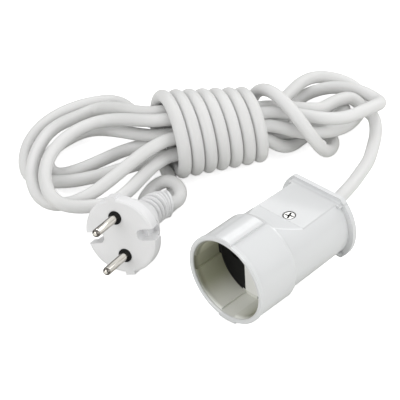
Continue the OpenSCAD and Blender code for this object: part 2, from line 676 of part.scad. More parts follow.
module plug_body() {
  color([0.92, 0.92, 0.95]) in_plug() difference() {
    union() {
      intersection() {
        union() {
          rotate_extrude() polygon([[0, -disc_t], [disc_r, -disc_t], [disc_r, -disc_edge],
            [disc_r - disc_edge * 0.3, -disc_edge * 0.3], [disc_r - disc_edge, 0], [0, 0]]);
          for (k = [1, -1]) translate([k * lug_r / 2, 0, -disc_t / 2])
            cube([lug_r, lug_w, disc_t], center = true);
        }
        difference() {
          translate([0, 0, -disc_t]) cylinder(r = lug_r + 1, h = disc_t);
          // earth-clip slots with round inner ends
          for (k = [1, -1]) {
            translate([-slot_w / 2, k > 0 ? slot_in + slot_w / 2 : -40 - slot_in - slot_w / 2,
                       -disc_t - 1]) cube([slot_w, 40, disc_t + 2]);
            translate([0, k * (slot_in + slot_w / 2), -disc_t - 1])
              cylinder(r = slot_w / 2, h = disc_t + 2);
          }
        }
      }
      // body that narrows to the strain relief
      difference() {
        rotate_extrude() polygon([[0, -disc_t], [waist_r, -disc_t], [waist_r - 0.6, -disc_t - 3],
          [waist_r - 2.6, -disc_t - 8], [waist_r - 5.6, -disc_t - 13],
          [rib0_r + 1, -body_len + 1.5], [rib0_r, -body_len], [0, -body_len]]);
        for (k = [1, -1]) translate([-slot_w / 2, k > 0 ? slot_in + slot_w / 2
          : -40 - slot_in - slot_w / 2, -disc_t - 6]) cube([slot_w, 40, 7]);
      }
      // strain relief: straight part, bend and ribs
      translate([0, 0, relief_z]) cylinder(r = relief_r, h = relief_straight + 1);
      for (i = [0 : 1]) translate([0, 0, -body_len - (i + 0.75) * relief_straight / 2.2])
        relief_rib(rib0_r - 0.15 * i);
      bend_frame() rotate([0, 0, -4]) rotate_extrude(angle = relief_turn + 4)
        translate([relief_bend, 0]) circle(relief_r - 0.15);
      for (i = [1 : ribs]) bend_frame() rotate([0, 0, relief_turn * i / ribs])
        translate([relief_bend, 0, 0]) rotate([90, 0, 0])
        relief_rib(rib0_r + (rib1_r - rib0_r) * i / ribs);
    }
    // seat of the bridge, the collars and the pins' feet
    translate([0, 0, (bridge_z0 + bridge_z1) / 2])
      cube([bridge_l + 2 * fit, bridge_w + 2 * fit, bridge_z1 - bridge_z0 + 2 * fit], center = true);
    for (k = [1, -1]) translate([k * pin_pitch / 2, 0, bridge_z1 - 1])
      cylinder(r = collar_r + fit, h = 5);
    // seats of the crimps and the two wires
    for (k = [1, -1]) translate([k * pin_pitch / 2, 0, crimp_z])
      cylinder(r = crimp_r + fit, h = bridge_z0 - crimp_z + 1);
    wire_lane(1, wire_d / 2);
    wire_lane(-1, wire_d / 2);
    // bore of the cord's jacket
    translate([0, 0, relief_z - 1]) cylinder(r = cord_r + 0.3, h = 6 + fit);
    bend_frame() rotate_extrude(angle = relief_turn + 8) translate([relief_bend, 0])
      circle(cord_r + 0.35);
  }
}

module relief_rib(r) {
  rotate_extrude() polygon([[0, -rib_len / 2], [r - 0.6, -rib_len / 2], [r, -rib_len / 2 + 0.5],
    [r, rib_len / 2 - 0.5], [r - 0.6, rib_len / 2], [0, rib_len / 2]]);
}

// frame whose rotate_extrude follows the bend of the strain relief
module bend_frame() {
  v = bend_way;
  c = relief_bend * v + [0, 0, relief_z];
  multmatrix([[-v[0], 0, v[1], c[0]], [-v[1], 0, -v[0], c[1]], [0, -1, 0, c[2]], [0, 0, 0, 1]])
    children();
}

// straight lane of one wire from its crimp to the jacket
module wire_lane(k, r) {
  a = [k * pin_pitch / 2, 0, crimp_z];
  b = [k * wire_in, 0, jacket_z];
  translate(a) rotate([0, 180 + k * atan((a[0] - b[0]) * k / (a[2] - b[2])), 0])
    cylinder(r = r, h = norm(b - a));
}

module plug_bridge() {
  color([0.1, 0.1, 0.1]) in_plug() difference() {
    union() {
      translate([0, 0, (bridge_z0 + bridge_z1) / 2])
        cube([bridge_l, bridge_w, bridge_z1 - bridge_z0], center = true);
      for (k = [1, -1]) translate([k * pin_pitch / 2, 0, bridge_z1 - 1])
        cylinder(r = collar_r, h = 1 - bridge_z1 + collar_out);
    }
    for (k = [1, -1]) translate([k * pin_pitch / 2, 0, bridge_z0 - 1])
      cylinder(r = foot_r + fit, h = collar_out - bridge_z0 + 2);
  }
}

module pin(k) {
  color([0.78, 0.75, 0.7]) in_plug() translate([k * pin_pitch / 2, 0, 0])
    rotate_extrude() polygon([[0, bridge_z0], [foot_r, bridge_z0], [foot_r, collar_out],
      [pin_r, collar_out], [pin_r, pin_len - 1.6],
      [pin_r * 0.93, pin_len - 0.9], [pin_r * 0.72, pin_len - 0.3], [pin_r * 0.4, pin_len],
      [0, pin_len]]);
}
module pin_upper() { pin(1); }
module pin_lower() { pin(-1); }

module crimp(k) {
  color([0.7, 0.7, 0.68]) in_plug() translate([k * pin_pitch / 2, 0, 0])
    translate([0, 0, crimp_z]) cylinder(r = crimp_r, h = bridge_z0 - crimp_z - fit);
}
module crimp_upper() { crimp(1); }
module crimp_lower() { crimp(-1); }

module wire_brown_plug() {
  color([0.45, 0.25, 0.12]) in_plug() wire_lane(1, wire_d / 2 - 0.1);
}
module wire_blue_plug() {
  color([0.15, 0.3, 0.65]) in_plug() wire_lane(-1, wire_d / 2 - 0.1);
}

socket_shell();
socket_end_cap();
contact_carrier();
contact_left();
contact_right();
terminal_screw_left();
terminal_screw_right();
cord_clamp();
clamp_screw_left();
clamp_screw_right();
body_screw();
body_nut();
wire_brown_socket();
wire_blue_socket();
cord_socket_tail();
cord_hank();
cord_winding();
cord_plug_tail();
plug_body();
plug_bridge();
pin_upper();
pin_lower();
crimp_upper();
crimp_lower();
wire_brown_plug();
wire_blue_plug();
report_gaps();
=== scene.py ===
"""Looks of a two-pole extension cord: socket, wound cord and moulded plug.

Everything is in metres, Z up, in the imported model's own frame: the socket's
axis lies along Y, its mouth faces -Y and the floor is at z = 0.
"""
import logging
import math
from dataclasses import dataclass, field
from enum import Enum
from typing import Sequence

import bpy
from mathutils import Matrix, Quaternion, Vector


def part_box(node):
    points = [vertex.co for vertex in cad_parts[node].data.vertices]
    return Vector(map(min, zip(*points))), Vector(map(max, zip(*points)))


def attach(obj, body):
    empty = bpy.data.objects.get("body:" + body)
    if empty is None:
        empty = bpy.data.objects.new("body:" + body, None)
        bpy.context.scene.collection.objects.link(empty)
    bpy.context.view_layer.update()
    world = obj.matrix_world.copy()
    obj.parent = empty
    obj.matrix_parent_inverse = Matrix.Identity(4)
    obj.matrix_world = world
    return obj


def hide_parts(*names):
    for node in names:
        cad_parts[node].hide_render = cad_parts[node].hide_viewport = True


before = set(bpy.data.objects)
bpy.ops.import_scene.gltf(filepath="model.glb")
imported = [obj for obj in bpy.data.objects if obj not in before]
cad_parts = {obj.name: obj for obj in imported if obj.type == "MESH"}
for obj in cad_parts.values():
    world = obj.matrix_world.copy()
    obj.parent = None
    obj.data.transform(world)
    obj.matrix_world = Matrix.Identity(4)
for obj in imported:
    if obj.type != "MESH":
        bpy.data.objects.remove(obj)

log = logging.getLogger("extension_cord")
MM = 0.001
NO_AREA = 1e-12
STRAIGHT = 1.0


# ---------------------------------------------------------------- shader maths
class Val:
    """A socket's value, on which plain Python arithmetic adds Math nodes."""

    def __init__(self, graph: "Graph", socket: bpy.types.NodeSocket) -> None:
        """Keeps the socket and the graph that it belongs to."""
        self.graph = graph
        self.socket = socket

    def _op(self, kind: str, *others: "Val | float") -> "Val":
        """Adds one Math node of that kind with this value first."""
        return self.graph.math(kind, self, *others)

    def __add__(self, other: "Val | float") -> "Val":
        """Sum."""
        return self._op("ADD", other)

    __radd__ = __add__

    def __sub__(self, other: "Val | float") -> "Val":
        """Difference."""
        return self._op("SUBTRACT", other)

    def __rsub__(self, other: float) -> "Val":
        """Reflected difference, so that 1 - mask works."""
        return self.graph.math("SUBTRACT", other, self)

    def __mul__(self, other: "Val | float") -> "Val":
        """Product."""
        return self._op("MULTIPLY", other)

    __rmul__ = __mul__

    def ramp(self, low: float, high: float) -> "Val":
        """A smooth step from 0 at low to 1 at high."""
        return self.graph.node(
            "ShaderNodeMapRange", {"interpolation_type": "SMOOTHSTEP"},
            {"Value": self, "From Min": low, "From Max": high})


class Graph:
    """One material's node tree, built by short calls."""

    def __init__(self, name: str) -> None:
        """Makes an empty node material.

        Args:
            name: the material's name.
        """
        self.material = bpy.data.materials.new(name)
        self.material.use_nodes = True
        self.tree = self.material.node_tree
        self.tree.nodes.clear()

    def raw(self, kind: str, settings: dict[str, object] | None = None,
            inputs: dict[str | int, object] | None = None) -> bpy.types.Node:
        """Adds a node.

        Args:
            kind: the node's type name.
            settings: attributes that are set before anything is linked.
            inputs: values or Val links for its sockets, by name or index.
        Returns:
            The new node.
        """
        node = self.tree.nodes.new(kind)
        for key, value in (settings or {}).items():
            setattr(node, key, value)
        for key, value in (inputs or {}).items():
            if isinstance(value, Val):
                self.tree.links.new(value.socket, node.inputs[key])
            else:
                node.inputs[key].default_value = value
        return node

    def node(self, kind: str, settings: dict[str, object] | None = None,
             inputs: dict[str | int, object] | None = None, output: str | int = 0) -> Val:
        """Adds a node and returns one of its outputs."""
        return Val(self, self.raw(kind, settings, inputs).outputs[output])

    def math(self, kind: str, *values: "Val | float") -> Val:
        """Adds a Math node of that kind."""
        return self.node("ShaderNodeMath", {"operation": kind}, dict(enumerate(values)))

    def mix(self, factor: "Val | float", one: "Val | tuple[float, ...]",
            two: "Val | tuple[float, ...]") -> Val:
        """Mixes two colours."""
        return self.node("ShaderNodeMix", {"data_type": "RGBA"},
                         {0: factor, 6: one, 7: two}, 2)

    def place(self) -> Val:
        """The object's own coordinates."""
        return self.node("ShaderNodeTexCoord", output="Object")

    def parts(self, vector: Val) -> tuple[Val, Val, Val]:
        """Splits a vector into its three numbers."""
        node = self.raw("ShaderNodeSeparateXYZ", inputs={0: vector})
        return tuple(Val(self, out) for out in node.outputs)

    def vector(self, x: "Val | float", y: "Val | float", z: "Val | float") -> Val:
        """Joins three numbers into a vector."""
        return self.node("ShaderNodeCombineXYZ", inputs={0: x, 1: y, 2: z})

    def dot(self, vector: Val, way: Sequence[float]) -> Val:
        """How far a place lies along a fixed direction."""
        return self.node("ShaderNodeVectorMath", {"operation": "DOT_PRODUCT"},
                         {0: vector, 1: tuple(way)}, "Value")

    def noise(self, at: Val, per_metre: float, detail: float = 2.0,
              rough: float = 0.5) -> Val:
        """Noise between 0 and 1.

        Args:
            at: the place that it is read at.
            per_metre: its cells a metre.
            detail: how many finer layers it has.
            rough: how strong the finer layers are.
        Returns:
            The noise.
        """
        return self.node("ShaderNodeTexNoise", None,
                         {"Vector": at, "Scale": per_metre, "Detail": detail,
                          "Roughness": rough})

    def bump(self, height: Val, strength: float, distance: float,
             under: Val | None = None) -> Val:
        """Bump from a height.

        Args:
            height: the height, from 0 to 1.
            strength: the share of it that is used.
            distance: what 1 stands for, in metres.
            under: another normal that this one lies on.
        Returns:
            The normal.
        """
        inputs: dict[str | int, object] = {
            "Height": height, "Strength": strength, "Distance": distance}
        if under is not None:
            inputs["Normal"] = under
        return self.node("ShaderNodeBump", None, inputs)

    def finish(self, **inputs: object) -> bpy.types.Material:
        """Adds the Principled shader and the output.

        Args:
            inputs: the shader's inputs, with _ for each space.
        Returns:
            The finished material.
        """
        named = {key.replace("_", " "): value for key, value in inputs.items()}
        shader = self.node("ShaderNodeBsdfPrincipled", None, named)
        self.raw("ShaderNodeOutputMaterial", None, {"Surface": shader})
        return self.material


Colour = tuple[float, float, float]


def rgba(colour: Colour, gain: float = 1.0) -> tuple[float, float, float, float]:
    """A colour as the shader wants it, lighter or darker by the gain."""
    return (colour[0] * gain, colour[1] * gain, colour[2] * gain, 1.0)


# -------------------------------------------------------------------- finishes
@dataclass(frozen=True)
class GlossyShell:
    """Hard moulded plastic with a gloss skin: the socket's housing."""

    name: str
    socket: "Socket"
    colour: Colour = (0.67, 0.68, 0.685)
    # upper, top, lower and mouth are painted shade and painted light on the cup's inside walls:
    # an olive painted shade, painted light towards the top of the walls and on the lower walls,
    # and a darker painted shade next to the lip
    upper: Colour = (0.35, 0.355, 0.255)
    top: Colour = (0.88, 0.88, 0.72)
    lower: Colour = (0.78, 0.785, 0.74)
    mouth: Colour = (0.17, 0.17, 0.12)
    # painted light: the bar across the recess is the housing's plastic, given a lighter colour
    # to stand for light on it
    bar: Colour = (0.88, 0.88, 0.86)
    # painted shadow: the colour of the rim behind the walls and of a patch in the top channel,
    # standing for shade there
    dark: Colour = (0.008, 0.008, 0.008)
    floor_r: float = 0.0184
    channel: float = 0.0041
    low_shade: tuple[float, float] = (-0.021, -0.011)
    high_shade: tuple[float, float] = (-0.014, 0.016)
    lip_shade: tuple[float, float] = (0.0010, 0.0045)
    # painted light on the ramp and painted shade on the upper flat, as gains on the housing's
    # colour
    ramp_painted_light_gain: float = 1.2
    flat_painted_shade_gain: float = 0.87
    face_edge: tuple[float, float] = (0.0003, 0.0006)
    face_end: float = 0.0004
    roughness: float = 0.3
    coat: float = 0.6
    cup_coat_loss: float = 0.5
    cup_dulling: float = 0.25
    orange_peel: float = 0.00004

    def inside(self, g: Graph, at: Val) -> tuple[Val, ...]:
        """Masks of the cup's inside, for its painted shade and painted light.

        Args:
            g: the graph that the masks are built in.
            at: the place in the object's own coordinates.
        Returns:
            The walls, the bar across the recess, the rim behind the walls and a
            patch in the top channel, which both get a painted shadow, how far up
            from the cup's floor a place lies, the same up to its top, and how near
            the lip it is.
        """
        box = self.socket
        x, y, z = g.parts(at)
        up, side = z - box.axis_z, g.math("ABSOLUTE", x)
        out = g.math("SQRT", x * x + up * up)
        depth = y + box.half_len
        within = (1 - out.ramp(box.mouth_r + 0.0001, box.mouth_r + 0.0006)) * depth.ramp(
            0.0004, 0.0016) * (1 - depth.ramp(box.recess + 0.0010, box.recess + 0.0012))
        deep = depth.ramp(box.recess - 0.0005, box.recess - 0.0002)
        ledge = out.ramp(self.floor_r, self.floor_r + 0.0001)
        # key is no part of the carrier: it marks a patch of the top channel that gets a painted
        # shadow
        key = up.ramp(0.0180, 0.0182) * (1 - side.ramp(self.channel - 0.0001, self.channel)) * (
            depth.ramp(box.recess - 0.0045, box.recess - 0.0042))
        foot = (1 - up.ramp(-0.0105, -0.0100)) * (
            1 - side.ramp(self.channel + 0.0002, self.channel + 0.0005))
        # painted shadow on the ledge ring behind the walls and on the top-channel patch
        painted_shadow_rim = within * g.math("MAXIMUM", deep, key) * ledge * (1 - foot)
        high = up.ramp(*self.high_shade)
        return (within * (1 - deep * (1 - ledge)), within * deep, painted_shadow_rim,
                up.ramp(*self.low_shade), high * high, 1 - depth.ramp(*self.lip_shade))

    def upper_faces(self, g: Graph, at: Val) -> tuple[Val, Val]:
        """Masks of the upper flat and of the ramp down to it, for their painted shade and
        painted light.

        Args:
            g: the graph that the masks are built in.
            at: the place in the object's own coordinates.
        Returns:
            The ramp's mask and the flat's.
        """
        box, turn = self.socket, math.radians(self.socket.roll)
        high = g.dot(at, (-math.sin(turn), 0, math.cos(turn))) - box.axis_z * math.cos(turn)
        run = g.dot(at, (0, 1, 0)) + box.half_len - box.ramp_from
        fall = (box.ramp_h - box.flat_h) / (box.ramp_to - box.ramp_from)
        off = g.math("ABSOLUTE", high + run * fall - box.ramp_h)
        end = box.ramp_to - box.ramp_from
        past = run.ramp(end - self.face_end, end)
        level = 1 - g.math("ABSOLUTE", high - box.flat_h).ramp(*self.face_edge)
        slope = (1 - off.ramp(*self.face_edge)) * run.ramp(0.0, self.face_end) * (1 - past)
        return slope, level * past

    def build(self) -> bpy.types.Material:
        """Builds the finish.

        Inside the cup it is duller, and a painted shade, even left to right,
        stands for the gloom there, with painted light on the lower walls, the
        tops of the walls and the bar across the recess, a darker painted shade
        next to the lip and a painted shadow on the rim behind the walls.  The
        upper flat has a painted shade that makes it a little darker than the
        rest, and its ramp has painted light.

        Returns:
            The material.
        """
        g = Graph(self.name)
        at = g.place()
        walls, bar, painted_shadow_rim, rise, high, near = self.inside(g, at)
        broad = g.noise(at, 55, 3)
        specks = g.noise(at, 2600, 1)
        handling = g.noise(at, 180, 5, 0.7).ramp(0.52, 0.72)
        tint = g.mix(broad, rgba(self.colour, 0.98), rgba(self.colour, 1.02))
        ramp, flat = self.upper_faces(g, at)
        # painted light on the ramp, painted shade on the upper flat
        tint = g.mix(ramp, tint, rgba(self.colour, self.ramp_painted_light_gain))
        tint = g.mix(flat, tint, rgba(self.colour, self.flat_painted_shade_gain))
        # painted light on the bar across the recess
        tint = g.mix(bar, tint, rgba(self.bar))
        # painted shade and painted light on the inside walls: lighter at the bottom, olive in
        # the middle, lighter again towards the top, darker next to the lip
        wall = g.mix(high, rgba(self.upper), rgba(self.top))
        wall = g.mix(near, wall, rgba(self.mouth))
        wall = g.mix(rise, rgba(self.lower), wall)
        tint = g.mix(walls, tint, wall)
        # painted shadow on the rim behind the walls and in the top channel
        tint = g.mix(painted_shadow_rim, tint, rgba(self.dark))
        tint = g.mix(specks.ramp(0.72, 0.8) * 0.25, tint, rgba(self.colour, 0.8))
        peel = g.noise(at, 130, 2)
        return g.finish(
            Base_Color=tint,
            Roughness=(self.roughness + handling * 0.10 + broad * 0.03
                       + walls * self.cup_dulling),
            Normal=g.bump(peel, 0.35, self.orange_peel), IOR=1.5,
            Coat_Weight=self.coat - walls * self.cup_coat_loss, Coat_Roughness=0.04)


@dataclass(frozen=True)
class SoftMoulding:
    """Soft moulded PVC with a fine matt grain: the plug."""

    name: str
    colour: Colour
    roughness: float = 0.42
    grain: float = 0.00003

    def build(self) -> bpy.types.Material:
        """Builds the finish.

        Returns:
            The material.
        """
        g = Graph(self.name)
        at = g.place()
        broad = g.noise(at, 90, 3)
        fine = g.noise(at, 3200, 2)
        tint = g.mix(broad, rgba(self.colour, 0.975), rgba(self.colour, 1.02))
        rub = g.noise(at, 240, 4, 0.65).ramp(0.55, 0.75)
        normal = g.bump(fine, 0.25, self.grain, g.bump(broad, 0.3, 0.00012))
        return g.finish(Base_Color=tint, Roughness=self.roughness + fine * 0.08 - rub * 0.1,
                        Normal=normal, IOR=1.5)


@dataclass(frozen=True)
class JacketSkin:
    """The cord's extruded PVC jacket, with drawing lines along it."""

    name: str
    colour: Colour
    shade: Colour
    roughness: float = 0.38

    def build(self) -> bpy.types.Material:
        """Builds the finish, which reads the tube's own along and around.

        Returns:
            The material.
        """
        g = Graph(self.name)
        along = g.node("ShaderNodeAttribute", {"attribute_name": "along"}, output="Fac")
        around = g.node("ShaderNodeAttribute", {"attribute_name": "around"}, output="Vector")
        ax, ay, _ = g.parts(around)
        lines = g.noise(g.vector(along * 1.5, ax * 26, ay * 26), 1.0, 3)
        waves = g.noise(g.vector(along * 60, ax * 0.6, ay * 0.6), 1.0, 2)
        fine = g.noise(g.place(), 2800, 2)
        broad = g.noise(g.vector(along * 14, ax * 0.5, ay * 0.5), 1.0, 3)
        tint = g.mix((broad * 0.7 + lines * 0.3).ramp(0.3, 0.7), rgba(self.shade),
                     rgba(self.colour))
        normal = g.bump(lines, 0.25, 0.00004, g.bump(waves, 0.5, 0.0002))
        normal = g.bump(fine, 0.2, 0.000015, normal)
        return g.finish(Base_Color=tint, Roughness=self.roughness + fine * 0.08 + broad * 0.05,
                        Normal=normal, IOR=1.5)


@dataclass(frozen=True)
class TurnedMetal:
    """Plated or bare metal with fine turning rings and a few rub marks."""

    name: str
    colour: Colour
    roughness: float = 0.2
    rings: float = 0.000012

    def build(self) -> bpy.types.Material:
        """Builds the finish.

        Returns:
            The material.
        """
        g = Graph(self.name)
        at = g.place()
        fine = g.noise(at, 1500, 3, 0.6)
        stain = g.noise(at, 320, 3).ramp(0.45, 0.75)
        tint = g.mix(stain, rgba(self.colour), rgba(self.colour, 0.82))
        return g.finish(Base_Color=tint, Metallic=1.0,
                        Roughness=self.roughness + fine * 0.1 + stain * 0.08,
                        Normal=g.bump(fine, 0.3, self.rings))


@dataclass(frozen=True)
class PinMetal:
    """Nickel-plated brass pins, with painted reflections: dark and bright streaks along them,
    dark lines along their sides and a dark ring round each tip.
    """

    name: str
    plug: "PlugFrame"
    pitch: float = 0.019
    length: float = 0.019
    # bright is the plating's colour; dark is the colour of the painted reflections on the pins
    bright: Colour = (0.93, 0.90, 0.84)
    dark: Colour = (0.16, 0.14, 0.12)
    # tip_ring, tip_r, top_line and side_line place painted reflections: a dark ring round each
    # tip and dark lines along the pins' sides
    tip_ring: tuple[float, float] = (0.0014, 0.0010)
    tip_r: tuple[float, float] = (0.0008, 0.0011)
    top_line: tuple[float, float] = (0.00188, 0.00196)
    side_line: tuple[float, float] = (0.00188, 0.00197)
    roughness: float = 0.12

    def build(self) -> bpy.types.Material:
        """Builds the finish in the plug's own directions.

        Returns:
            The material.
        """
        g = Graph(self.name)
        at = g.place()
        centre = Vector(self.plug.at) * MM
        up = g.dot(at, self.plug.up) - centre.dot(self.plug.up)
        side = g.dot(at, self.plug.side) - centre.dot(self.plug.side)
        along = g.dot(at, self.plug.out) - centre.dot(self.plug.out)
        up = up - g.math("SIGN", up) * (self.pitch / 2)
        out = g.math("SQRT", up * up + side * side)
        # painted reflection: a dark ring round the tip
        tip = along.ramp(self.length - self.tip_ring[0], self.length - self.tip_ring[1])
        tip = tip * out.ramp(*self.tip_r)
        # painted reflections: dark lines along the pin's upper and lower sides
        painted_dark_edge = (up + side * 0.03).ramp(*self.top_line)
        lower = (up * -0.68 - side * 0.73).ramp(*self.side_line) * 0.7
        painted_dark_edge = g.math("MAXIMUM", painted_dark_edge, lower)
        # the streaks give painted reflections in the colour and fine draw marks in the bump
        streaks = g.noise(g.vector(up * 900, side * 900, along * 22), 1.0, 3, 0.6)
        rings = g.noise(g.vector(along * 5200, 0.0, 0.0), 1.0, 2)
        rub = g.noise(at, 600, 4, 0.65)
        # painted reflections: dark and bright streaks along the pin
        tint = g.mix(streaks.ramp(0.3, 0.5), rgba(self.dark, 2.5), rgba(self.bright))
        tint = g.mix(rub.ramp(0.62, 0.8) * 0.4, tint, rgba(self.bright, 0.7))
        # painted reflections on the tips and along the sides
        tint = g.mix(g.math("MAXIMUM", tip, painted_dark_edge) * 0.9, tint, rgba(self.dark, 0.4))
        normal = g.bump(rings, 0.25, 0.000006, g.bump(streaks, 0.3, 0.00002))
        return g.finish(Base_Color=tint, Metallic=1.0, Roughness=self.roughness + rub * 0.12,
                        Normal=normal)


@dataclass(frozen=True)
class ScrewSteel:
    """Bright screw steel with painted shade in the cross recess and round the head's edge."""

    name: str
    centre: tuple[float, float]
    turn: float
    colour: Colour = (0.95, 0.94, 0.92)
    painted_recess_shade: Colour = (0.03, 0.03, 0.028)
    # painted shadow of the counterbore round the head's edge
    painted_dark_edge: Colour = (0.05, 0.05, 0.048)
    slot: float = 0.00045
    reach: float = 0.0021
    blur: float = 0.0001
    # where the painted shadow ring round the head lies
    head_edge: tuple[float, float] = (0.0023, 0.0025)

    def build(self) -> bpy.types.Material:
        """Builds the finish, with a painted shade cross laid over the CAD's recess and a
        painted shadow ring round the head.

        Returns:
            The material.
        """
        g = Graph(self.name)
        at = g.place()
        x, y, _ = g.parts(at)
        c, s = math.cos(math.radians(self.turn)), math.sin(math.radians(self.turn))
        dx, dy = x - self.centre[0], y - self.centre[1]
        a, b = g.math("ABSOLUTE", dx * c + dy * s), g.math("ABSOLUTE", dy * c - dx * s)
        arm = (1 - g.math("MINIMUM", a, b).ramp(self.slot, self.slot + self.blur)) * (
            1 - g.math("MAXIMUM", a, b).ramp(self.reach, self.reach + self.blur))
        out = g.math("SQRT", dx * dx + dy * dy)
        rings = g.noise(g.vector(out * 9000, 0.0, 0.0), 1.0, 2)
        rub = g.noise(at, 900, 4, 0.6)
        tint = g.mix(rub, rgba(self.colour, 0.8), rgba(self.colour, 1.1))
        # painted shade in the cross recess
        tint = g.mix(arm, tint, rgba(self.painted_recess_shade))
        # painted shadow of the counterbore round the head's edge
        painted_shadow_rim = out.ramp(*self.head_edge) * 0.95
        tint = g.mix(painted_shadow_rim, tint, rgba(self.painted_dark_edge))
        return g.finish(Base_Color=tint, Metallic=1.0, Roughness=0.22 + rub * 0.15,
                        Normal=g.bump(rings, 0.3, 0.00001))


@dataclass(frozen=True)
class DarkMoulding:
    """Black insulating plastic with a satin grain."""

    name: str
    colour: Colour = (0.006, 0.006, 0.0065)
    dust: Colour = (0.03, 0.03, 0.029)
    roughness: float = 0.5

    def build(self) -> bpy.types.Material:
        """Builds the finish.

        Returns:
            The material.
        """
        g = Graph(self.name)
        at = g.place()
        grain = g.noise(at, 1800, 3, 0.6)
        dust = g.noise(at, 700, 5, 0.7).ramp(0.6, 0.8)
        tint = g.mix(dust * 0.4, rgba(self.colour), rgba(self.dust))
        return g.finish(Base_Color=tint, Roughness=self.roughness + grain * 0.15,
                        Normal=g.bump(grain, 0.3, 0.00003), Specular_IOR_Level=0.2)


# ----------------------------------------------------------------- cord route
def clip(x: float, low: float, high: float) -> float:
    """x held between low and high."""
    return min(high, max(low, x))


def step3(x: float) -> float:
    """A smooth step from 0 to 1."""
    return x * x * (3 - 2 * x)


@dataclass(frozen=True)
class Oval:
    """The oval that one loop of the hank runs round, in millimetres."""

    side: int
    start: int
    end: int
    centre: tuple[float, float]
    length: float
    far: float
    near: float
    turn: float
    far_join: float
    near_join: float
    heights: tuple[float, float, float]
    backwards: bool = False

    def spin(self, x: float, y: float) -> Vector:
        """Turns a direction by the oval's own turn."""
        c, s = math.cos(math.radians(self.turn)), math.sin(math.radians(self.turn))
        return Vector((x * c - y * s, x * s + y * c))

    def at(self, angle: float) -> Vector:
        """A point of the oval; a narrow half has a round end.

        Args:
            angle: where on the oval, in degrees, above 0 on the far side.
        Returns:
            The point, along the hank and across it.
        """
        t = math.radians(angle)
        half = self.far if angle > 0 else self.near
        cap = min(self.length, half)
        reach = (self.length - cap) * (1 - (1 - math.cos(t)) ** 2) + cap * math.cos(t)
        return Vector(self.centre) + self.spin(self.side * reach, half * math.sin(t))

    def way(self, angle: float) -> Vector:
        """The way round, from the far side to the near one.

        Args:
            angle: where on the oval, in degrees.
        Returns:
            The direction, of length 1.
        """
        t = math.radians(angle)
        half = self.far if angle > 0 else self.near
        cap = min(self.length, half)
        along = (2 * (self.length - cap) * (1 - math.cos(t)) + cap) * math.sin(t)
        return self.spin(self.side * along, -half * math.cos(t)).normalized()


def hermite(a: Vector, ta: Vector, b: Vector, tb: Vector, s: float) -> Vector:
    """A point of a cubic.

    Args:
        a: where it starts.
        ta: the way that it leaves.
        b: where it ends.
        tb: the way that it arrives.
        s: how far along, from 0 to 1.
    Returns:
        The point.
    """
    return (a * (2 * s ** 3 - 3 * s * s + 1) + ta * (s ** 3 - 2 * s * s + s)
            + b * (3 * s * s - 2 * s ** 3) + tb * (s ** 3 - s * s))


